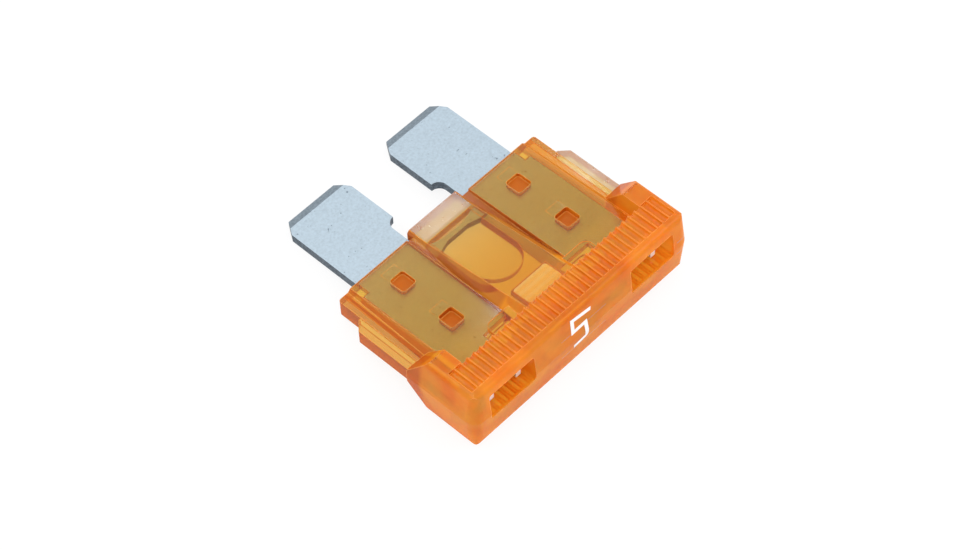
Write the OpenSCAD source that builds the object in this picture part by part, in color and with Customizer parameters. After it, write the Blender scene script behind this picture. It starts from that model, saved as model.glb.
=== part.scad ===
// Blade fuse with a see-through housing and a built-in lamp that lights when the fuse has blown.
// The fuse is drawn in its own frame: X across the two blades, Y towards the blade tips with
// Y = 0 at the blade side of the body, Z through its thickness with Z = 0 at mid thickness.
// rest_pose() then lays the finished pieces down as the loose fuse lies on a table.
$fn = 48;

/* [Overall] */
// Width across the head at its parting line
fuse_w = 19.3; // [19:0.1:19.6]
// Body length from its blade side to the end of the head
body_l = 12.4; // [11.9:0.05:12.7]
// Thickness of the head
head_t = 5.1; // [4.7:0.1:5.6]

/* [Blades] */
// Width of one blade
blade_w = 5.25; // [5.1:0.05:5.4]
// Thickness of the sheet that blades and link are stamped from
blade_t = 0.65; // [0.5:0.05:0.75]
// Gap between the two blades
blade_gap = 3.45; // [3.3:0.05:4]
// How far the blades stand out of the body
blade_out = 6.9; // [6.2:0.1:7.5]
// Chamfer of a tip corner, measured across the blade
tip_chamfer_w = 0.65; // [0.3:0.05:0.9]
// Chamfer of a tip corner, measured along the blade
tip_chamfer_l = 1.0; // [0.5:0.1:1.3]
// Length of the coined bevel at the tip
tip_bevel_l = 0.55; // [0.3:0.05:0.8]
// Thickness that the bevel leaves at the tip
tip_edge_t = 0.3; // [0.2:0.05:0.45]
// Radius of the notch that narrows each blade to its neck
neck_notch = 0.65; // [0.3:0.05:0.7]
// Length of the neck between the body and the blade
neck_l = 1.6; // [1.2:0.1:2]

/* [Fuse element inside the body] */
// Distance from the centre line to the inner edge of the buried plate
plate_inner = 2.75; // [2.6:0.05:3]
// How far the neck goes into the body before the plate begins
neck_root = 0.8; // [0.6:0.05:1]
// Distance from the centre line to the outer edge of the buried plate
plate_outer = 7.45; // [7.3:0.05:7.6]
// Distance of the buried plate's end from the end of the head
plate_setback = 4.05; // [3.75:0.05:4.25]
// Width of the test tab that goes on into the head
tab_w = 2.75; // [2.4:0.05:3]
// Depth of the tab's end below the end of the head
tab_setback = 1.35; // [1.3:0.05:1.45]
// Length of the two nibs at the corners of the tab's end, the test points in the slot
nib_l = 0.4; // [0.3:0.05:0.9]
// Width of a nib
nib_w = 0.4; // [0.2:0.05:0.6]
// Width of the fusible strip at its narrowest
link_w = 0.35; // [0.25:0.05:0.6]
// Width of the roots that join the strip to the plates
link_root_w = 0.9; // [0.7:0.1:1.2]
// Half length of the strip's narrow middle
link_neck = 0.9; // [0.5:0.1:1.2]
// Distance of the strip from the blade side of the body
link_y = 1.6; // [1.5:0.1:3]

/* [Stakes] */
// Width of a stake recess across the blades
stake_w = 1.15; // [0.9:0.05:1.3]
// Length of a stake recess along the blades
stake_l = 1.25; // [1:0.05:1.4]
// Distance of the recesses from the centre line
stake_x = 5.18; // [5:0.02:5.4]
// Distance of the first recess from the blade side of the body
stake_first = 2.05; // [1.8:0.05:2.3]
// Spacing of the two recesses
stake_pitch = 4.15; // [3.8:0.05:4.4]
// Web of plastic left between a recess and the sheet
stake_web = 0.3; // [0.2:0.05:0.35]
// Corner radius of a stake recess
stake_r = 0.2; // [0.1:0.05:0.3]
// Length of the level pad beside a recess, towards the blades
stake_pad = 0.7; // [0.4:0.05:0.75]

/* [Body] */
// Half width of the slab that carries the bosses
slab_half_w = 8.75; // [8.6:0.05:8.9]
// Thickness of that slab
slab_t = 1.3; // [1.2:0.05:1.4]
// Thickness of the side flanges
flange_t = 1.15; // [1:0.05:1.18]
// Distance of the flanges from the blade side of the body
flange_start = 1.9; // [1.5:0.1:2.4]
// How far the flanges' edges lie inside the sides of the head
flange_inset = 0.15; // [0:0.05:0.3]
// Chamfer of a flange's free corner
flange_chamfer = 0.6; // [0.3:0.05:0.7]
// Distance from the centre line to a boss's inner edge
boss_inner = 2.75; // [2.7:0.05:2.8]
// Distance from the centre line to a boss's outer edge
boss_outer = 7.7; // [7.65:0.01:7.8]
// Body thickness over the bosses at the blade side
boss_t_front = 1.74; // [1.7:0.02:1.9]
// Body thickness over the bosses at the head
boss_t_back = 2.4; // [2.2:0.05:2.7]
// Slope of the walls of bosses and spine, run over rise
wall_run = 0.95; // [0.7:0.05:1.1]

/* [Spine over the link] */
// Half width of the spine's top
spine_half_w = 2.05; // [1.9:0.05:2.1]
// Spine thickness at the blade side
spine_t_front = 1.66; // [1.6:0.02:1.8]
// Spine thickness where it runs into the head
spine_t_back = 3.9; // [3.6:0.05:4.2]
// How far the spine stands proud of the bosses at the blade side
spine_lip = 0.5; // [0.2:0.05:0.6]
// Length of the spine's level front, before its top starts to rise
spine_level_l = 1.35; // [1:0.05:1.6]
// Wall between the link chamber and the blade side of the body
chamber_wall = 0.95; // [0.8:0.05:1.2]
// Half width of the link chamber, also the radius of its round end
chamber_r = 1.8; // [1.6:0.05:1.85]
// Length of the link chamber
chamber_l = 5.8; // [5.5:0.1:6.2]
// Height of the link chamber
chamber_h = 0.8; // [0.76:0.02:0.9]

/* [Head] */
// Length of the ribbed block of the head
head_l = 2.7; // [2.45:0.05:2.85]
// Width of the shoulders outside the bosses
shoulder_w = 1.75; // [1.6:0.05:1.85]
// Distance of the shoulders' full thickness from the end of the head
shoulder_l = 4.1; // [3.8:0.05:4.4]
// Length of the flare between flange and full thickness
flare_l = 1.65; // [1.4:0.05:1.9]
// Draft of the head's walls towards the parting line at mid thickness, in degrees
head_draft = 5.5; // [1:0.5:6]
// Radius of the long edges of the head
head_edge_r = 0.45; // [0.3:0.05:0.5]
// Radius of the head's corners at the parting line, seen from above
head_corner_r = 0.8; // [0.8:0.05:1.3]
// Radius of the corners of the slab that carries the bosses
slab_corner_r = 0.2; // [0.15:0.05:0.7]
// Spacing of the grip ribs
rib_pitch = 0.55; // [0.5:0.01:0.6]
// Depth of the grooves between the ribs
rib_depth = 0.24; // [0.15:0.01:0.28]
// Flat width of a rib's crest
rib_crest = 0.09; // [0.06:0.01:0.14]
// Smooth margin between the ribs and the end of the head
rib_margin = 0.75; // [0.6:0.05:0.85]
// Smooth margin between the ribs and the sides of the head
rib_side = 0.75; // [0.6:0.05:1]
// Half width of the low step in front of the head
step_half_w = 4.53; // [4.4:0.05:4.6]
// Rise of that step over the bosses
step_rise = 0.2; // [0.1:0.05:0.3]
// Length of the step in front of the ribbed block
step_l = 1.4; // [1.2:0.05:1.5]
// Radius of that step's corners
step_corner_r = 0.55; // [0.3:0.05:0.6]

/* [Test slots] */
// Distance from the centre line to a slot's inner end
slot_inner = 4.3; // [4.2:0.05:4.4]
// Distance from the centre line to a slot's outer end
slot_outer = 8.2; // [8:0.05:8.4]
// Height of a slot's upper edge over mid thickness
slot_top = 1.7; // [1.5:0.05:1.8]
// Depth of a slot's lower edge under mid thickness
slot_bottom = 0.45; // [0.42:0.01:0.6]
// Depth of a slot
slot_depth = 1.25; // [1.15:0.05:1.25]

/* [Lamp circuit] */
// Width of the lamp block across the blades
lamp_w = 2.9; // [2.6:0.1:3]
// Length of the lamp block along the blades
lamp_l = 1.5; // [1.3:0.05:1.6]
// Height of the lamp block
lamp_h = 0.95; // [0.85:0.05:1]
// Height of the lamp block's foot over mid thickness
lamp_z = 0.3; // [0.2:0.05:0.4]
// Distance of the lamp block from the ribbed block
lamp_gap = 0.4; // [0.3:0.05:0.5]
// Radius of the lamp block's upright edges
lamp_r = 0.2; // [0.1:0.05:0.3]
// Diameter of the lead wires
lead_d = 0.3; // [0.25:0.01:0.35]
// Distance of the leads from the centre line where they leave the lamp
lead_x = 0.9; // [0.7:0.05:1.1]
// Distance of the cross run of the leads from the end of the head
lead_setback = 2.05; // [1.95:0.05:2.1]
// Bend radius of a lead on its centre line
lead_bend = 0.45; // [0.35:0.05:0.5]
// How far a lead lies over its test tab
lead_overlap = 0.6; // [0.4:0.05:0.8]
// Length of the series resistor
resistor_l = 1.4; // [1.2:0.05:1.6]
// Width of the series resistor along the blades
resistor_w = 0.8; // [0.7:0.05:0.9]
// Height of the series resistor
resistor_h = 0.5; // [0.45:0.05:0.6]
// Distance of the resistor's middle from the centre line
resistor_x = 2.9; // [2.7:0.05:3.1]

/* [Clearance] */
// Gap all round the element in its pocket
fit = 0.04; // [0.02:0.01:0.06]
// Gap all round the lamp circuit in its pockets
lamp_fit = 0.06; // [0.03:0.01:0.1]

/* [Hidden] */

half_w = fuse_w / 2;
half_head = head_t / 2;
half_sheet = blade_t / 2;
blade_inner = blade_gap / 2;
blade_outer = blade_inner + blade_w;
neck_inner = blade_inner + neck_notch;
tab_inner = plate_outer - tab_w;
plate_end = -(body_l - plate_setback);
tab_end = -(body_l - tab_setback);
head_front = -(body_l - head_l);
shoulder_front = -(body_l - shoulder_l);
flare_front = shoulder_front + flare_l;
shoulder_inner = half_w - shoulder_w;
step_front = head_front + step_l;
spine_rise = spine_lip - spine_level_l;
chamber_front = -chamber_wall;
chamber_back = chamber_front - chamber_l;
lamp_back = head_front + lamp_gap;
lamp_mid = lamp_back + lamp_l / 2;
lead_z = half_sheet + lead_d / 2;
lead_y = -(body_l - lead_setback);
lead_end_x = tab_inner + lead_overlap;
edge_inset = draft_inset(head_edge_r);
cut = 1;

// The loose fuse lies on the heel of its head and on the beginning of the tip bevels.
heel = [shoulder_front, -half_head];
toe = [blade_out - tip_bevel_l, -half_sheet];
rest_tilt = atan2(toe[1] - heel[1], toe[0] - heel[0]);
rest_lift = -lowered(heel);
rest_far = along([blade_out, tip_edge_t / 2]);
rest_near = along([edge_inset - body_l, head_edge_r - half_head]) - head_edge_r;
rest_mid = (rest_far + rest_near) / 2;

function along(p) = p[0] * cos(rest_tilt) + p[1] * sin(rest_tilt);
function lowered(p) = p[1] * cos(rest_tilt) - p[0] * sin(rest_tilt);
// How far the centre of a long edge's rounding lies inside the outermost point of a drafted wall
function draft_inset(r) = (r + sin(head_draft) * (half_head - r)) / cos(head_draft);
function boss_t(y) = boss_t_front + (boss_t_back - boss_t_front) * y / head_front;

module rest_pose() {
    translate([0, -rest_mid, rest_lift]) rotate([-rest_tilt, 0, 0]) children();
}

// Extrudes a Y-Z outline along X, from x0 to x1
module side_extrude(x0, x1) {
    translate([x0, 0, 0]) rotate([90, 0, 90]) linear_extrude(x1 - x0) children();
}

// Extrudes an X-Z outline along Y, from y0 to y1
module end_extrude(y0, y1) {
    translate([0, y1, 0]) rotate([90, 0, 0]) linear_extrude(y1 - y0) children();
}

// Extrudes an X-Y outline along Z, from z0 to z1
module plan_extrude(z0, z1) {
    translate([0, 0, z0]) linear_extrude(z1 - z0) children();
}

module both_ends() {
    children();
    mirror([1, 0]) children();
}

module both_sides() {
    children();
    mirror([1, 0, 0]) children();
}

// Rectangle between two corners with round corners of radius r
module round_rect(low, high, r) {
    translate([low[0] + r, low[1]]) square([high[0] - low[0] - 2 * r, high[1] - low[1]]);
    translate([low[0], low[1] + r]) square([high[0] - low[0], high[1] - low[1] - 2 * r]);
    for (x = [low[0] + r, high[0] - r], y = [low[1] + r, high[1] - r]) translate([x, y]) circle(r);
}

// Outline of a drafted wall, widest at mid thickness at x = reach, with round long edges; it ends at x0
module drafted_wall(x0, reach) {
    centre = [reach - edge_inset, half_head - head_edge_r];
    touch = centre + head_edge_r * [cos(head_draft), sin(head_draft)];
    polygon([
        [x0, -half_head], [centre[0], -half_head], [touch[0], -touch[1]], [reach, 0],
        [touch[0], touch[1]], [centre[0], half_head], [x0, half_head]
    ]);
    for (side = [-1, 1]) translate([centre[0], side * centre[1]]) circle(head_edge_r);
}

module box(low, high) {
    translate(low) cube(high - low);
}

// Section across a boss or the spine: a flat top of given half width and sloping walls to the slab
module ridge_section(x0, x1, half_t, run0, run1) {
    foot = half_t - slab_t / 2;
    polygon([
        [x0 - run0 * foot, -slab_t / 2], [x0, -half_t], [x1, -half_t], [x1 + run1 * foot, -slab_t / 2],
        [x1 + run1 * foot, slab_t / 2], [x1, half_t], [x0, half_t], [x0 - run0 * foot, slab_t / 2]
    ]);
}

// Ridge that grows in thickness from y_front to the head
module ridge(x0, x1, y_front, t_front, t_back, run0, run1) {
    thin = 0.01;
    hull() {
        end_extrude(y_front - thin, y_front) ridge_section(x0, x1, t_front / 2, run0, run1);
        end_extrude(head_front - thin, head_front) ridge_section(x0, x1, t_back / 2, run0, run1);
    }
}

// Raised middle over the link: level at the blade side, then rising to the head
module spine() {
    end_extrude(spine_rise, spine_lip)
        ridge_section(-spine_half_w, spine_half_w, spine_t_front / 2, wall_run, wall_run);
    ridge(-spine_half_w, spine_half_w, spine_rise, spine_t_front, spine_t_back, wall_run, wall_run);
}

module slab() {
    plan_extrude(-slab_t / 2, slab_t / 2)
        round_rect([-slab_half_w, head_front - slab_corner_r], [slab_half_w, 0], slab_corner_r);
}

// One side flange with its chamfered free corner, up to the flare of the head
module flange() {
    reach = half_w - flange_inset;
    plan_extrude(-flange_t / 2, flange_t / 2) polygon([
        [slab_half_w - slab_corner_r, flare_front - flange_chamfer],
        [reach, flare_front - flange_chamfer],
        [reach, -flange_start - flange_chamfer],
        [reach - flange_chamfer, -flange_start],
        [slab_half_w - slab_corner_r, -flange_start]
    ]);
}

// Side view of a shoulder: the flare from the flange and the full thickness behind it
module shoulder_outline() {
    polygon([
        [flare_front, -flange_t / 2], [shoulder_front, -half_head], [head_front, -half_head],
        [head_front, half_head], [shoulder_front, half_head], [flare_front, flange_t / 2]
    ]);
}

// Keeps what lies within the drafted side walls and the round corners, which have the same draft
module head_limits() {
    corner = [half_w - head_corner_r, head_corner_r - body_l];
    intersection() {
        children();
        end_extrude(-body_l, 0) both_ends() drafted_wall(0, half_w);
        union() {
            box([-corner[0], -body_l, -half_head], [corner[0], 0, half_head]);
            box([-half_w, corner[1], -half_head], [half_w, 0, half_head]);
            both_sides() translate(corner) for (side = [0, 1]) mirror([0, 0, side])
                cylinder(h = half_head, r1 = head_corner_r, r2 = head_corner_r - half_head * tan(head_draft));
        }
    }
}

module shoulders() {
    both_sides() side_extrude(shoulder_inner, half_w) shoulder_outline();
}

// The block between the drafted end face and the wall over the bosses
module head_block() {
    side_extrude(-half_w, half_w) mirror([1, 0]) drafted_wall(-head_front, body_l);
}

// Round grooves between the grip ribs, on both broad faces of the block
module rib_grooves() {
    chord = (rib_pitch - rib_crest) / 2;
    groove_r = (chord * chord + rib_depth * rib_depth) / (2 * rib_depth);
    count = floor((half_w - rib_side) / rib_pitch);
    end_extrude(-body_l + rib_margin, head_front + cut) intersection() {
        union() for (i = [-count : count], side = [-1, 1])
            translate([i * rib_pitch, side * (half_head + groove_r - rib_depth)]) circle(groove_r);
        square([2 * half_w, head_t + rib_depth], center = true);
    }
}

module head() {
    head_limits() {
        shoulders();
        difference() {
            head_block();
            rib_grooves();
        }
    }
}

// Level pads beside the stake recesses, on the rising tops of the bosses
module stake_pads() {
    both_sides() for (side = [0, 1], rim = [for (step = [0, stake_pitch]) stake_l / 2 - stake_first - step])
        mirror([0, 0, side])
            box([stake_x - stake_w / 2, rim - stake_r, 0],
                [stake_x + stake_w / 2, rim + stake_pad, boss_t(rim) / 2]);
}

// Low step over the lamp's leads, in front of the ribbed block
module lead_step() {
    half_t = boss_t_back / 2 + step_rise;
    plan_extrude(-half_t, half_t)
        round_rect([-step_half_w, head_front - step_corner_r], [step_half_w, step_front], step_corner_r);
}

module housing_outside() {
    slab();
    both_sides() {
        flange();
        ridge(boss_inner, boss_outer, 0, boss_t_front, boss_t_back, 0, wall_run);
    }
    stake_pads();
    spine();
    lead_step();
    head();
}

// Outline of one blade with its buried plate and test tab; grow widens it all round in the body
module blade_outline(grow) {
    difference() {
        polygon([
            [plate_inner - grow, plate_end - grow],
            [plate_inner - grow, -neck_root - grow],
            [neck_inner - grow, -neck_root - grow],
            [neck_inner - grow, neck_l],
            [blade_inner, neck_l],
            [blade_inner, blade_out - tip_chamfer_l],
            [blade_inner + tip_chamfer_w, blade_out],
            [blade_outer - tip_chamfer_w, blade_out],
            [blade_outer, blade_out - tip_chamfer_l],
            [blade_outer, spine_lip + cut],
            [blade_outer + grow, spine_lip + cut],
            [blade_outer + grow, grow - chamber_wall],
            [plate_outer + grow, grow - chamber_wall],
            [plate_outer + grow, tab_end - grow],
            [tab_inner - grow, tab_end - grow],
            [tab_inner - grow, plate_end - grow]
        ]);
        translate([blade_inner, neck_l]) circle(neck_notch);
    }
}

module stake_places() {
    for (y = [-stake_first, -stake_first - stake_pitch]) translate([stake_x, y]) children();
}

module stake_outline(grow) {
    round_rect([-stake_w / 2 - grow, -stake_l / 2 - grow], [stake_w / 2 + grow, stake_l / 2 + grow],
               stake_r + grow);
}

// Fusible strip: its roots at the plates taper to a narrow middle
module link_outline(grow) {
    root = link_root_w / 2 + grow;
    middle = link_w / 2 + grow;
    translate([0, -link_y]) polygon([
        [-plate_inner - cut / 4, -root], [-chamber_r, -root], [-link_neck, -middle],
        [link_neck, -middle], [chamber_r, -root], [plate_inner + cut / 4, -root],
        [plate_inner + cut / 4, root], [chamber_r, root], [link_neck, middle],
        [-link_neck, middle], [-chamber_r, root], [-plate_inner - cut / 4, root]
    ]);
}

// Pocket for the element, with plastic left standing in the stake holes
module element_pocket() {
    both_sides() plan_extrude(-half_sheet - fit, half_sheet + fit) difference() {
        blade_outline(fit);
        stake_places() stake_outline(-fit);
    }
    plan_extrude(-half_sheet - fit, half_sheet + fit) link_outline(fit);
    tab_nibs(fit);
}

// Flat chamber round the link, round at the head end
module link_chamber() {
    plan_extrude(-chamber_h / 2, chamber_h / 2) {
        translate([-chamber_r, chamber_back + chamber_r]) square([2 * chamber_r, chamber_l - chamber_r]);
        translate([0, chamber_back + chamber_r]) circle(chamber_r);
    }
}

// Room for the lamp, for its leads and for the series resistor
module lamp_pockets() {
    lamp_half = lamp_w / 2 + lamp_fit;
    lead_room = lead_d / 2 + lamp_fit;
    box([-lamp_half, lead_y - lead_room, lamp_z - lamp_fit],
        [lamp_half, lamp_back + lamp_l + lamp_fit, lamp_z + lamp_h + lamp_fit]);
    box([-lead_end_x - lamp_fit, lead_y - lead_room, half_sheet - lamp_fit],
        [lead_end_x + lamp_fit, lead_y + lead_room, lead_z + lead_room]);
    box([-lead_x - lead_bend - lead_room, lead_y - lead_room, half_sheet - lamp_fit],
        [lead_x + lead_bend + lead_room, lamp_back, lead_z + lead_room]);
    box([-resistor_x - resistor_l / 2 - lamp_fit, lead_y - resistor_w / 2 - lamp_fit,
         lead_z - resistor_h / 2 - lamp_fit],
        [-resistor_x + resistor_l / 2 + lamp_fit, lead_y + resistor_w / 2 + lamp_fit,
         lead_z + resistor_h / 2 + lamp_fit]);
}

module test_slots() {
    both_sides() end_extrude(-body_l - cut, slot_depth - body_l)
        round_rect([slot_inner, -slot_bottom], [slot_outer, slot_top], stake_r);
}

module stake_recesses() {
    both_sides() for (side = [0, 1]) mirror([0, 0, side])
        plan_extrude(half_sheet + stake_web, half_head) stake_places() stake_outline(0);
}

module housing() {
    color([0.95, 0.45, 0.1, 0.7]) rest_pose() difference() {
        housing_outside();
        element_pocket();
        link_chamber();
        lamp_pockets();
        test_slots();
        stake_recesses();
    }
}

// Cuts the coined bevel on both faces of the blade tips
module tip_wedges() {
    side_extrude(-half_w, half_w) polygon([
        [blade_out - tip_bevel_l, half_sheet],
        [blade_out, tip_edge_t / 2],
        [blade_out + cut, tip_edge_t / 2],
        [blade_out + cut, half_sheet + cut],
        [blade_out - tip_bevel_l, half_sheet + cut]
    ]);
}

// The nibs at the end of both test tabs; grow widens them all round
module tab_nibs(grow) {
    both_sides() for (x = [tab_inner, plate_outer - nib_w])
        box([x - grow, tab_end - nib_l - grow, -half_sheet - grow],
            [x + nib_w + grow, tab_end + nib_w, half_sheet + grow]);
}

module fuse_element() {
    color([0.74, 0.8, 0.86]) rest_pose() difference() {
        union() {
            both_sides() plan_extrude(-half_sheet, half_sheet) difference() {
                blade_outline(0);
                stake_places() stake_outline(0);
            }
            plan_extrude(-half_sheet, half_sheet) link_outline(0);
            tab_nibs(0);
        }
        tip_wedges();
        mirror([0, 0, 1]) tip_wedges();
    }
}

module indicator_lamp() {
    color([0.96, 0.85, 0.6]) rest_pose() plan_extrude(lamp_z, lamp_z + lamp_h)
        round_rect([-lamp_w / 2, lamp_back], [lamp_w / 2, lamp_back + lamp_l], lamp_r);
}

// Straight lead wire along X, from x0 to x1
module lead_run(x0, x1) {
    translate([x0, lead_y, lead_z]) rotate([0, 90, 0]) cylinder(h = x1 - x0, d = lead_d);
}

// Lead that leaves the back of the lamp at lead_x and turns outwards, up to x_end
module bent_lead(x_end) {
    translate([lead_x, lamp_back, lead_z]) rotate([90, 0, 0])
        cylinder(h = lamp_back - lead_y - lead_bend, d = lead_d);
    translate([lead_x + lead_bend, lead_y + lead_bend, lead_z]) rotate([0, 0, 180])
        rotate_extrude(angle = 90) translate([lead_bend, 0]) circle(d = lead_d);
    lead_run(lead_x + lead_bend, x_end);
}

module lamp_lead_right() {
    color([0.8, 0.8, 0.8]) rest_pose() bent_lead(lead_end_x);
}

module lamp_lead_left() {
    color([0.8, 0.8, 0.8]) rest_pose() mirror([1, 0, 0]) bent_lead(resistor_x - resistor_l / 2);
}

module series_resistor() {
    color([0.2, 0.2, 0.22]) rest_pose()
        translate([-resistor_x, lead_y, lead_z]) cube([resistor_l, resistor_w, resistor_h], center = true);
}

module resistor_lead() {
    color([0.8, 0.8, 0.8]) rest_pose() lead_run(-lead_end_x, -resistor_x - resistor_l / 2);
}

housing();
fuse_element();
indicator_lamp();
lamp_lead_left();
lamp_lead_right();
series_resistor();
resistor_lead();
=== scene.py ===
from math import atan2, cos, pi, radians, sin, tan

import bpy
from mathutils import Matrix, Vector


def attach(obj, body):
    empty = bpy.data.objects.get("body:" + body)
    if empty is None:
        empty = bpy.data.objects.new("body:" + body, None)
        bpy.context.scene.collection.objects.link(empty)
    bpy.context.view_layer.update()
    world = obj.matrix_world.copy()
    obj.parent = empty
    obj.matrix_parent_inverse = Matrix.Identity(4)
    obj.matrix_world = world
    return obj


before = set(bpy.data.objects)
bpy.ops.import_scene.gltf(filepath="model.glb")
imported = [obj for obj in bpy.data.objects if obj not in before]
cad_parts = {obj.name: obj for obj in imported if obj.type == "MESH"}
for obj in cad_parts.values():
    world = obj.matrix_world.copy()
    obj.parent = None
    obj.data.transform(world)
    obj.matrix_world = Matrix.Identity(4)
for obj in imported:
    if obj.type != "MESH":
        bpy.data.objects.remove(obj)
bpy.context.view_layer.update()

MM = 0.001
WHITE = (1, 1, 1, 1)

# The fuse's own frame, as part.scad draws it: X across the blades, Y = 0 at the blade side of the
# body and towards the tips, Z = 0 at mid thickness. All in millimetres.
BODY_L = 12.4
HALF_HEAD = 2.55
HEAD_EDGE_R = 0.45
HEAD_DRAFT = radians(5.5)
# In side view (Y, Z): the two points that the fuse lies on, and the one furthest from the head
HEEL = (-8.3, -2.55)
TOE = (6.35, -0.325)
TIP = (6.9, 0.15)
# Where these begin, towards the end face: the shoulders, the test slots, the head's full
# # thickness and the nibs' ends that a test probe touches, which get a painted glint
SHOULDER_Y = -8.2
SLOT_Y = -9.0
HEAD_Y = -9.6
NIB_Y = -11.43

# Places on the plastic that look different, as middle and reach on each axis that bounds them.
# X and Z count without their sign, so a place is there on both halves and both sides.
# The bottoms of the stake recesses
STAKES = {"X": (5.18, 0.7), "Z": (0.625, 0.02)}
# The slab outside the bosses
RIMS = {"X": (8.0, 0.4), "Z": (0.65, 0.05)}
# The level faces of the side flanges; the right one also has a painted reflection
FLANGES = {"X": (9.1, 0.6), "Z": (0.575, 0.03)}
# The level front of the spine, where a reflection is painted
SPINE_FRONT = {"X": (0.0, 2.0), "Z": (0.83, 0.02)}
# Between the spine and the bosses, with the walls on both sides, where shade is painted
GROOVES = {"X": (2.43, 0.34)}
# The shoulders and their flares
SHOULDERS = {"X": (8.9, 1.2)}
# The colour changes between these distances ahead of the shoulders, and the milk over this length
# where the head begins
SHOULDER_FADE = (0.2, 0.6)
HEAD_FADE = 0.3

# The plastic's colour: cloudy between deep and light on the head, deeper ahead of the shoulders,
# # a painted highlight on the edge lines, painted shade between the spine and the bosses, and a
# # painted reflection on the spine's front and the right flange
ORANGE = {
    "deep": (0.97, 0.26, 0.01),
    "light": (1.0, 0.42, 0.03),
    "ahead": (0.74, 0.18, 0.015),
    "edges": (1.0, 0.46, 0.11),
    "grooves": (0.58, 0.16, 0.035),
    "painted_sheen": (0.6, 0.5, 0.48),
}
# How much of that colour the surface shows, from 0 for clear to 1 for opaque
LEVEL_MILK = 0.12
HEAD_MILK = 0.48
WALL_MILK = 0.6
PLACE_MILK = {"stakes": 0.8, "rims": 0.6, "flanges": 0.3, "edges": 0.8, "grooves": 0.6, "painted_sheen": 0.4}

# The camera in the fuse's frame: direction and roll in degrees, distance and aim in millimetres
CAMERA_AZIMUTH = -44.294
CAMERA_ELEVATION = 53.416
CAMERA_ROLL = -2.76
CAMERA_DISTANCE = 186.409
CAMERA_AIM = (-0.811, -5.142, 0.023)
CAMERA_LENS = 111.4
SENSOR_WIDTH = 36.0

# How far off the small glare lights stand, in millimetres, and their bluish colour
GLARE_DISTANCE = 300
GLARE_COLOR = (0.55, 0.78, 1)

# Half the floor's side, in metres
FLOOR_HALF = 0.4
# How much of the floor is plain white for rays that see it directly and for those through plastic
FLOOR_SEEN = 0.85
FLOOR_THROUGH = 0.05


def rest_matrix():
    """From the fuse's own frame in millimetres to the frame at rest in metres."""
    tilt = atan2(TOE[1] - HEEL[1], TOE[0] - HEEL[0])

    def along(point):
        return point[0] * cos(tilt) + point[1] * sin(tilt)

    lift = HEEL[0] * sin(tilt) - HEEL[1] * cos(tilt)
    inset = (HEAD_EDGE_R + sin(HEAD_DRAFT) * (HALF_HEAD - HEAD_EDGE_R)) / cos(HEAD_DRAFT)
    near = along((inset - BODY_L, HEAD_EDGE_R - HALF_HEAD)) - HEAD_EDGE_R
    middle = (along(TIP) + near) / 2
    move = Matrix.Translation((0, -middle, lift)) @ Matrix.Rotation(-tilt, 4, "X")
    return Matrix.Scale(MM, 4) @ move


REST = rest_matrix()
SHEET_NORMAL = (REST.to_3x3() @ Vector((0, 0, 1))).normalized()


def add_camera():
    azimuth, elevation, roll = map(radians, (CAMERA_AZIMUTH, CAMERA_ELEVATION, CAMERA_ROLL))
    back = Vector((sin(azimuth) * cos(elevation), -cos(azimuth) * cos(elevation), sin(elevation)))
    level = Vector((cos(azimuth), sin(azimuth), 0))
    rise = back.cross(level)
    right = level * cos(roll) + rise * sin(roll)
    up = rise * cos(roll) - level * sin(roll)
    place = Vector(CAMERA_AIM) + back * CAMERA_DISTANCE
    turn = REST.to_3x3().normalized() @ Matrix((right, up, back)).transposed()
    data = bpy.data.cameras.new("camera")
    data.lens = CAMERA_LENS
    data.sensor_width = SENSOR_WIDTH
    data.clip_start = 0.005
    data.clip_end = 10
    camera = bpy.data.objects.new("camera", data)
    camera.matrix_world = Matrix.Translation(REST @ place) @ turn.to_4x4()
    bpy.context.scene.collection.objects.link(camera)
    bpy.context.scene.camera = camera


def area_light(name, place, aim, size, watts, color=(1, 1, 1)):
    """Square light of the given side, in metres."""
    data = bpy.data.lights.new(name, "AREA")
    data.shape = "RECTANGLE"
    data.size = data.size_y = size
    data.energy = watts
    data.color = color
    light = bpy.data.objects.new(name, data)
    light.location = place
    light.rotation_euler = (Vector(place) - Vector(aim)).to_track_quat("Z", "Y").to_euler()
    bpy.context.scene.collection.objects.link(light)


def glare_light(name, middle, size, watts):
    """Small light that the level faces of the plastic around a point mirror towards the camera."""
    view = REST.inverted() @ bpy.context.scene.camera.location - Vector(middle)
    mirrored = Vector((-view.x, -view.y, view.z)).normalized()
    place = Vector(middle) + mirrored * GLARE_DISTANCE
    area_light(name, REST @ place, REST @ Vector(middle), size, watts, GLARE_COLOR)


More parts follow.
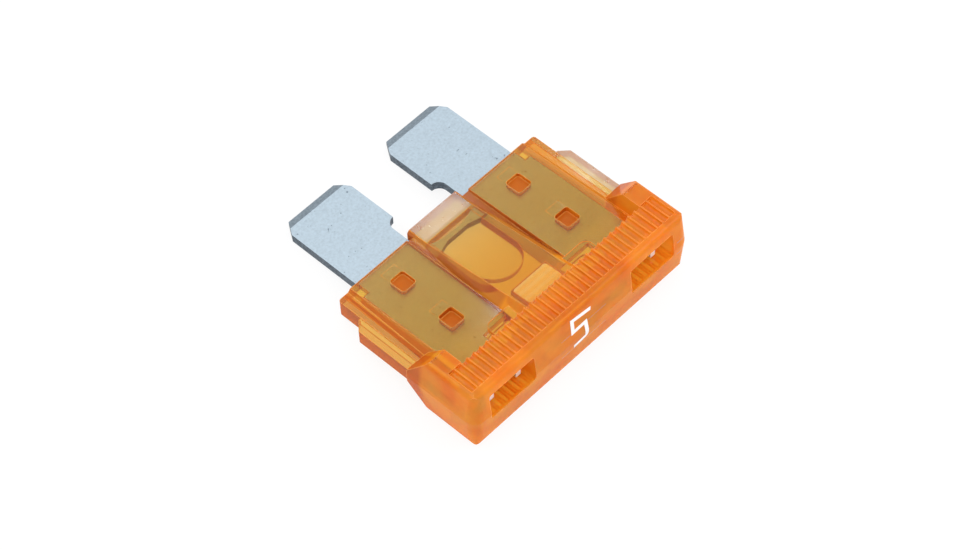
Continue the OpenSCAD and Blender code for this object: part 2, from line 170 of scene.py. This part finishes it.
class Nodes:
    """Short way to build the nodes of a material or of the world."""

    def __init__(self, owner, output="ShaderNodeOutputMaterial"):
        owner.use_nodes = True
        self.tree = owner.node_tree
        self.tree.nodes.clear()
        self.output = self.add(output)

    def add(self, kind, inputs=(), **settings):
        node = self.tree.nodes.new(kind)
        for key, value in settings.items():
            setattr(node, key, value)
        for key, value in dict(inputs).items():
            self.put(node, key, value)
        return node

    def put(self, node, key, value):
        socket = node.inputs[key]
        if isinstance(value, bpy.types.NodeSocket):
            self.tree.links.new(value, socket)
        else:
            socket.default_value = value

    def noise(self, vector, scale, detail=2.0, roughness=0.5):
        node = self.add(
            "ShaderNodeTexNoise",
            {"Vector": vector, "Scale": scale, "Detail": detail, "Roughness": roughness},
        )
        return node.outputs["Fac"]

    def ramp(self, value, stops):
        node = self.add("ShaderNodeValToRGB", {"Fac": value})
        elements = node.color_ramp.elements
        while len(elements) < len(stops):
            elements.new(1.0)
        for element, (place, color) in zip(elements, stops):
            element.position = place
            element.color = (*color, 1.0)
        return node.outputs["Color"]

    def levels(self, value, low, high, to_low=0.0, to_high=1.0):
        node = self.add(
            "ShaderNodeMapRange",
            {"Value": value, "From Min": low, "From Max": high, "To Min": to_low, "To Max": to_high},
        )
        return node.outputs["Result"]

    def join(self, operation, first, second):
        return self.add("ShaderNodeMath", {0: first, 1: second}, operation=operation).outputs[0]

    def size(self, value):
        return self.add("ShaderNodeMath", {0: value}, operation="ABSOLUTE").outputs[0]

    def blend(self, share, color, other):
        """From one colour at share 0 to the other at share 1."""
        other = other if isinstance(other, bpy.types.NodeSocket) else (*other, 1)
        node = self.add("ShaderNodeMix", {0: share, 6: color, 7: other}, data_type="RGBA")
        return node.outputs[2]

    def cover(self, share, shader, other):
        """From one shader at share 0 to the other at share 1."""
        return self.add("ShaderNodeMixShader", {0: share, 1: shader, 2: other}).outputs[0]

    def dot(self, vector, direction):
        """How squarely a surface faces a direction or its opposite, from 0 to 1."""
        node = self.add("ShaderNodeVectorMath", {0: vector, 1: direction}, operation="DOT_PRODUCT")
        return self.size(node.outputs["Value"])

    def within(self, at, place):
        """1 inside one of the named places on the plastic, else 0."""
        inside = None
        for axis, (middle, reach) in place.items():
            inputs = {0: self.size(at[axis]), 1: middle, 2: reach}
            near = self.add("ShaderNodeMath", inputs, operation="COMPARE").outputs[0]
            inside = near if inside is None else self.join("MULTIPLY", inside, near)
        return inside

    def fuse_place(self, place):
        """Place in the fuse's own frame, in millimetres, as sockets X, Y and Z."""
        inverse = REST.inverted()
        turn = self.add(
            "ShaderNodeMapping",
            {
                "Vector": place,
                "Location": inverse.translation,
                "Rotation": inverse.to_euler(),
                "Scale": inverse.to_scale(),
            },
        )
        return self.add("ShaderNodeSeparateXYZ", {0: turn.outputs[0]}).outputs


def plastic_places(n, at, bevel):
    """Masks of the places that look different, 1 inside and 0 outside. One flange alone has the painted
    reflection.
    """
    ahead = n.levels(at["Y"], SHOULDER_Y + SHOULDER_FADE[0], SHOULDER_Y + SHOULDER_FADE[1])
    flanges = n.within(at, FLANGES)
    right_flange = n.join("MULTIPLY", flanges, n.join("GREATER_THAN", at["X"], 0.0))
    true_normal = n.add("ShaderNodeNewGeometry").outputs["Normal"]
    return {
        "ahead": ahead,
        # The edge lines of the bevel carry a painted highlight colour
        "edges": n.levels(n.dot(bevel, true_normal), 0.99, 0.9),
        "flanges": flanges,
        # Painted shade between the spine and the bosses, ahead of the shoulders
        "grooves": n.join("MULTIPLY", n.within(at, GROOVES), ahead),
        "rims": n.within(at, RIMS),
        # Painted reflection: the spine's front and the right flange
        "painted_sheen": n.join("MAXIMUM", n.within(at, SPINE_FRONT), right_flange),
        "stakes": n.within(at, STAKES),
    }


def plastic_body(n, place, masks):
    """The plastic's colour with its painted light and shade, as a matt shader that lets a part of the
    light through.
    """
    color = n.ramp(n.noise(place, 500, 3), [(0.3, ORANGE["deep"]), (0.7, ORANGE["light"])])
    for name in ("ahead", "edges", "grooves", "painted_sheen"):
        color = n.blend(masks[name], color, ORANGE[name])
    front = n.add("ShaderNodeBsdfDiffuse", {"Color": color})
    behind = n.add("ShaderNodeBsdfTranslucent", {"Color": color})
    return n.cover(0.3, front.outputs[0], behind.outputs[0])


def plastic_milk(n, place, at, bevel, masks):
    """How much of its matt colour and painted light the surface shows, least on level faces ahead of the
    head.
    """
    lead = n.join("MULTIPLY", n.within(at, SHOULDERS), SHOULDER_Y - HEAD_Y)
    behind = n.join("SUBTRACT", at["Y"], lead)
    least = n.levels(behind, HEAD_Y, HEAD_Y - HEAD_FADE, LEVEL_MILK, HEAD_MILK)
    milk = n.levels(n.dot(bevel, SHEET_NORMAL), 0.99, 0.75, least, WALL_MILK)
    for name, share in PLACE_MILK.items():
        milk = n.join("MAXIMUM", milk, n.join("MULTIPLY", masks[name], share))
    dust = n.noise(place, 1500, 3)
    return n.join("MULTIPLY", milk, n.levels(dust, 0.3, 0.7, 0.95, 1.05))


def see_through_plastic():
    """Clear tinted plastic that looks denser on its walls, on its edge lines and on the head, with
    painted light and shade.
    """
    material = bpy.data.materials.new("orange_plastic")
    n = Nodes(material)
    place = n.add("ShaderNodeTexCoord").outputs["Object"]
    bevel = n.add("ShaderNodeBevel", {"Radius": 0.1 * MM}, samples=4).outputs["Normal"]
    ripple = n.noise(place, 450, 3)
    bump = n.add(
        "ShaderNodeBump",
        {"Strength": 0.03, "Distance": 0.1 * MM, "Height": ripple, "Normal": bevel},
    )
    clear = n.add(
        "ShaderNodeBsdfPrincipled",
        {
            "Base Color": (1, 0.98, 0.92, 1),
            "Roughness": n.levels(n.noise(place, 900, 2), 0.3, 0.7, 0.056, 0.112),
            "IOR": 1.58,
            "Transmission Weight": 1.0,
            "Specular Tint": (1, 0.88, 0.74, 1),
            "Normal": bump.outputs["Normal"],
        },
    )
    at = n.fuse_place(place)
    masks = plastic_places(n, at, bevel)
    milk = plastic_milk(n, place, at, bevel, masks)
    solid = n.cover(milk, clear.outputs["BSDF"], plastic_body(n, place, masks))
    shadow = n.add("ShaderNodeBsdfTransparent", {"Color": (0.86, 0.72, 0.52, 1)})
    rays = n.add("ShaderNodeLightPath").outputs
    n.put(n.output, "Surface", n.cover(rays["Is Shadow Ray"], solid, shadow.outputs["BSDF"]))
    tint = {"Color": (0.965, 0.825, 0.1, 1), "Density": 1600}
    n.put(n.output, "Volume", n.add("ShaderNodeVolumeAbsorption", tint).outputs[0])
    return material


def zinc():
    """Rolled zinc: painted shade on sides and bevels but not in the slots, painted glint on the nibs'
    ends.
    """
    material = bpy.data.materials.new("zinc")
    n = Nodes(material)
    coordinates = n.add("ShaderNodeTexCoord").outputs
    place = coordinates["Object"]
    grain = n.noise(place, 6000, 4, 0.6)
    face = n.ramp(
        grain,
        [(0.25, (0.4, 0.48, 0.545)), (0.5, (0.465, 0.555, 0.625)), (0.8, (0.52, 0.625, 0.71))],
    )
    specks = n.levels(n.noise(place, 3600, 1), 0.72, 0.78)
    face = n.blend(specks, face, (0.22, 0.27, 0.32))
    # Painted shade: near-black on the faces that turn away from the sheet's level, except in the slots
    painted_side_shade = n.ramp(grain, [(0.3, (0.05, 0.065, 0.085)), (0.7, (0.16, 0.2, 0.24))])
    length = n.add("ShaderNodeSeparateXYZ", {0: place}).outputs["Y"]
    slot_y = (REST @ Vector((0, SLOT_Y, 0))).y
    nib_y = (REST @ Vector((0, NIB_Y, 0))).y
    flat = n.levels(n.dot(coordinates["Normal"], SHEET_NORMAL), 0.93, 0.99)
    flat = n.join("MAXIMUM", flat, n.levels(length, slot_y, slot_y - 0.5 * MM))
    # Painted glint: the nibs' ends are near white and mostly not metallic
    painted_nib_glint = n.join("LESS_THAN", length, nib_y)
    color = n.blend(painted_nib_glint, n.blend(flat, painted_side_shade, face), (0.9, 0.92, 0.95))
    bump = n.add("ShaderNodeBump", {"Strength": 0.2, "Distance": 0.03 * MM, "Height": grain})
    metal = n.add(
        "ShaderNodeBsdfPrincipled",
        {
            "Base Color": color,
            "Metallic": n.levels(painted_nib_glint, 0.0, 1.0, 1.0, 0.2),
            "Roughness": n.levels(n.noise(place, 900, 3), 0.3, 0.7, 0.4, 0.5),
            "Normal": bump.outputs["Normal"],
        },
    )
    n.put(n.output, "Surface", metal.outputs["BSDF"])
    return material


def plain_material(name, dark, light, looks, speckles=0.0, bands=0.0):
    """Material with speckles of two colours or with bands of painted highlight, and with the other looks
    of its shader.
    """
    material = bpy.data.materials.new(name)
    n = Nodes(material)
    place = n.add("ShaderNodeTexCoord").outputs["Object"]
    if bands:
        inputs = {"Vector": place, "Scale": bands, "Distortion": 0.5}
        wave = n.add("ShaderNodeTexWave", inputs, bands_direction="Y")
        pattern = n.levels(wave.outputs["Fac"], 0.0, 1.0, 0.3, 0.7)
    else:
        pattern = n.noise(place, speckles, 3)
    color = n.ramp(pattern, [(0.35, dark), (0.65, light)])
    shader = n.add("ShaderNodeBsdfPrincipled", {"Base Color": color, **looks})
    n.put(n.output, "Surface", shader.outputs["BSDF"])
    return material


def milky_lamp():
    looks = {"Roughness": 0.4, "Subsurface Weight": 0.2}
    # The lighter bands are painted highlights along the lamp's facets
    return plain_material("milky_lamp", (0.98, 0.88, 0.55), (1.0, 1.0, 0.88), looks, bands=620)


def tinned_wire():
    looks = {"Metallic": 1.0, "Roughness": 0.3}
    return plain_material("tinned_wire", (0.6, 0.6, 0.6), (0.82, 0.82, 0.8), looks, speckles=3000)


def resistor_black():
    dark, light = (0.05, 0.04, 0.04), (0.12, 0.1, 0.1)
    return plain_material("resistor_black", dark, light, {"Roughness": 0.5}, speckles=2000)


def white_print():
    dark, light = (0.84, 0.83, 0.84), (0.9, 0.9, 0.9)
    return plain_material("white_print", dark, light, {"Roughness": 0.45}, speckles=2500)


def dress(node, material):
    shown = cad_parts[node]
    if not shown.material_slots:
        shown.data.materials.append(material)
    for slot in shown.material_slots:
        slot.material = material


def number_line():
    """Centre line of the rating number on the end face, across and up, in millimetres."""
    line = [(0.66, 1.68), (-0.97, 1.9), (-0.98, 0.85), (0.14, 0.88), (0.2, 0.0)]
    bend, bend_z, steps = 0.22, -0.3, 6
    for step in range(steps + 1):
        angle = -step * pi / (2 * steps)
        line.append((bend * cos(angle), bend * sin(angle) + bend_z))
    line.append((-0.93, -0.61))
    return [Vector(point) for point in line]


def stroke_side(points, k, half):
    """From a point of a line to the left edge of its stroke, mitred at the corners."""
    before = (points[k] - points[k - 1]).normalized() if k > 0 else None
    after = (points[k + 1] - points[k]).normalized() if k < len(points) - 1 else None
    before, after = before or after, after or before
    run = (before + after).normalized()
    return Vector((-run.y, run.x)) * half / max(run.dot(after), 0.5)


def on_end_face(point, proud):
    """A point at rest, given across and up on the end face and by how far it stands proud of it."""
    y = abs(point.y) * tan(HEAD_DRAFT) - BODY_L - proud
    return REST @ Vector((point.x, y, point.y))


def number_print():
    """The rating number as a thin layer of print that follows both halves of the end face."""
    half_width, low, high = 0.145, 0.004, 0.016
    points = number_line()
    verts, faces = [], []
    # Four corners at each point of the line: left and right, at the face and proud of it
    for k, point in enumerate(points):
        side = stroke_side(points, k, half_width)
        for proud in (low, high):
            verts += [on_end_face(point + side, proud), on_end_face(point - side, proud)]
    end = len(verts) - 4
    for a in range(0, end, 4):
        b = a + 4
        faces += [(a + 2, b + 2, b + 3, a + 3), (a, a + 1, b + 1, b)]
        faces += [(a, b, b + 2, a + 2), (a + 1, a + 3, b + 3, b + 1)]
    faces += [(0, 2, 3, 1), (end, end + 1, end + 3, end + 2)]
    mesh = bpy.data.meshes.new("rating_number")
    mesh.from_pydata(verts, [], faces)
    mesh.materials.append(white_print())
    piece = bpy.data.objects.new("rating_number", mesh)
    bpy.context.scene.collection.objects.link(piece)
    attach(piece, "root")


def floor_material():
    """Matt floor that keeps the shadow and is mostly plain white where a ray sees it directly."""
    material = bpy.data.materials.new("pale_floor")
    n = Nodes(material)
    place = n.add("ShaderNodeTexCoord").outputs["Object"]
    color = n.ramp(n.noise(place, 30, 2), [(0.3, (0.9, 0.9, 0.9)), (0.7, (0.92, 0.92, 0.92))])
    matt = n.add("ShaderNodeBsdfDiffuse", {"Color": color})
    white = n.add("ShaderNodeEmission", {"Color": WHITE, "Strength": 1.02})
    rays = n.add("ShaderNodeLightPath").outputs
    seen = n.join("MAXIMUM", rays["Is Camera Ray"], rays["Is Glossy Ray"])
    seen = n.join("MULTIPLY", seen, FLOOR_SEEN)
    through = n.join("MULTIPLY", rays["Is Transmission Ray"], FLOOR_THROUGH)
    share = n.join("MAXIMUM", seen, through)
    n.put(n.output, "Surface", n.cover(share, matt.outputs[0], white.outputs[0]))
    return material


def add_floor():
    mesh = bpy.data.meshes.new("floor")
    corners = [(x * FLOOR_HALF, y * FLOOR_HALF, 0) for x, y in ((-1, -1), (1, -1), (1, 1), (-1, 1))]
    mesh.from_pydata(corners, [], [(0, 1, 2, 3)])
    mesh.materials.append(floor_material())
    floor = bpy.data.objects.new("floor", mesh)
    bpy.context.scene.collection.objects.link(floor)


def add_world():
    """Even white light, and plain white where a ray sees the background."""
    world = bpy.data.worlds.new("studio")
    bpy.context.scene.world = world
    n = Nodes(world, "ShaderNodeOutputWorld")
    light = n.add("ShaderNodeBackground", {"Color": WHITE, "Strength": 0.95})
    white = n.add("ShaderNodeBackground", {"Color": WHITE, "Strength": 1.0})
    rays = n.add("ShaderNodeLightPath").outputs
    seen = n.join("MAXIMUM", rays["Is Camera Ray"], rays["Is Glossy Ray"])
    seen = n.join("MAXIMUM", seen, rays["Is Transmission Ray"])
    n.put(n.output, "Surface", n.cover(seen, light.outputs[0], white.outputs[0]))


bpy.context.scene.view_settings.view_transform = "Standard"
add_camera()
add_world()
add_floor()
area_light("key", place=(-0.1, 0.12, 0.3), aim=(0, 0, 0), size=0.35, watts=0.4)
area_light("fill", place=(0.2, -0.1, 0.16), aim=(0, 0, 0), size=0.2, watts=0.22)

dress("housing", see_through_plastic())
dress("fuse_element", zinc())
dress("indicator_lamp", milky_lamp())
dress("series_resistor", resistor_black())
wire = tinned_wire()
for lead in ("lamp_lead_left", "lamp_lead_right", "resistor_lead"):
    dress(lead, wire)

number_print()
glare_light("strip_glare", middle=(0, -0.7, 1.3), size=0.008, watts=0.0022)
glare_light("flange_glare", middle=(9, -4.5, 0.6), size=0.008, watts=0.0014)
